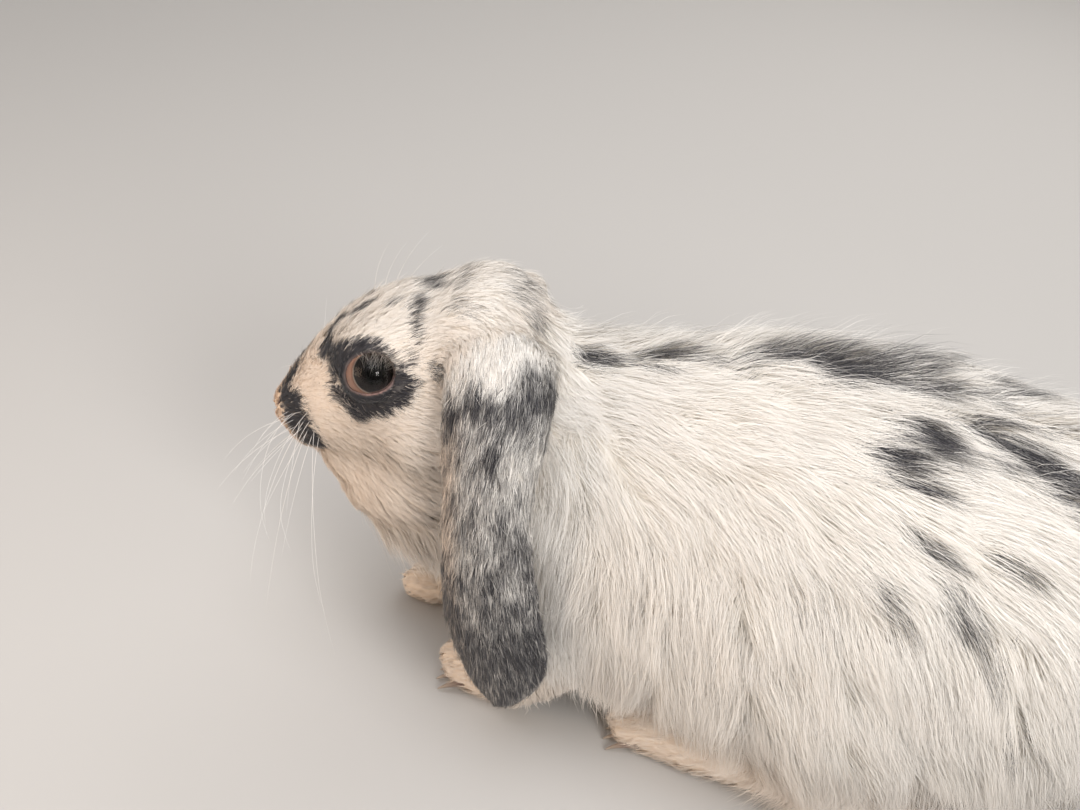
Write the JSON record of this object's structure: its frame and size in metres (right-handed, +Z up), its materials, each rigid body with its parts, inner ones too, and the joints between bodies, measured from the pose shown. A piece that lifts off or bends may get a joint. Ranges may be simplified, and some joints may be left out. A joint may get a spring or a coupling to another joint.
{
  "type": "lop rabbit",
  "caption": "Life-size lop-eared rabbit crouching on all feet with its head turned a little to its left, ears hanging beside the cheeks.",
  "frame": {"origin": "centre of the bounding box at the floor", "axes": "+Z up, -X the way the rabbit faces, -Y its left side"},
  "size_m": [0.3176, 0.1288, 0.1526],
  "materials": {
    "white_fur": "soft white coat with charcoal patches",
    "grey_fur": "short dense steel-grey coat mottled with white",
    "tan_fur": "short pale tan coat, worn smooth",
    "eye": "wet, clear and glossy over a dark brown iris"
  },
  "bodies": {
    "root": {"head": "white_fur", "muzzle": "white_fur", "throat": "white_fur", "neck": "white_fur", "chest": "white_fur", "belly": "white_fur", "rump": "white_fur", "tail": "white_fur", "ear_left": "grey_fur", "ear_right": "grey_fur", "eye_left": "eye", "eye_right": "eye", "upper_foreleg_left": "white_fur", "upper_foreleg_right": "white_fur", "forearm_left": "white_fur", "forearm_right": "white_fur", "forefoot_left": "tan_fur", "forefoot_right": "tan_fur", "thigh_left": "white_fur", "thigh_right": "white_fur", "hock_left": "white_fur", "hock_right": "white_fur", "hindfoot_left": "tan_fur", "hindfoot_right": "tan_fur"}
  },
  "joints": []
}
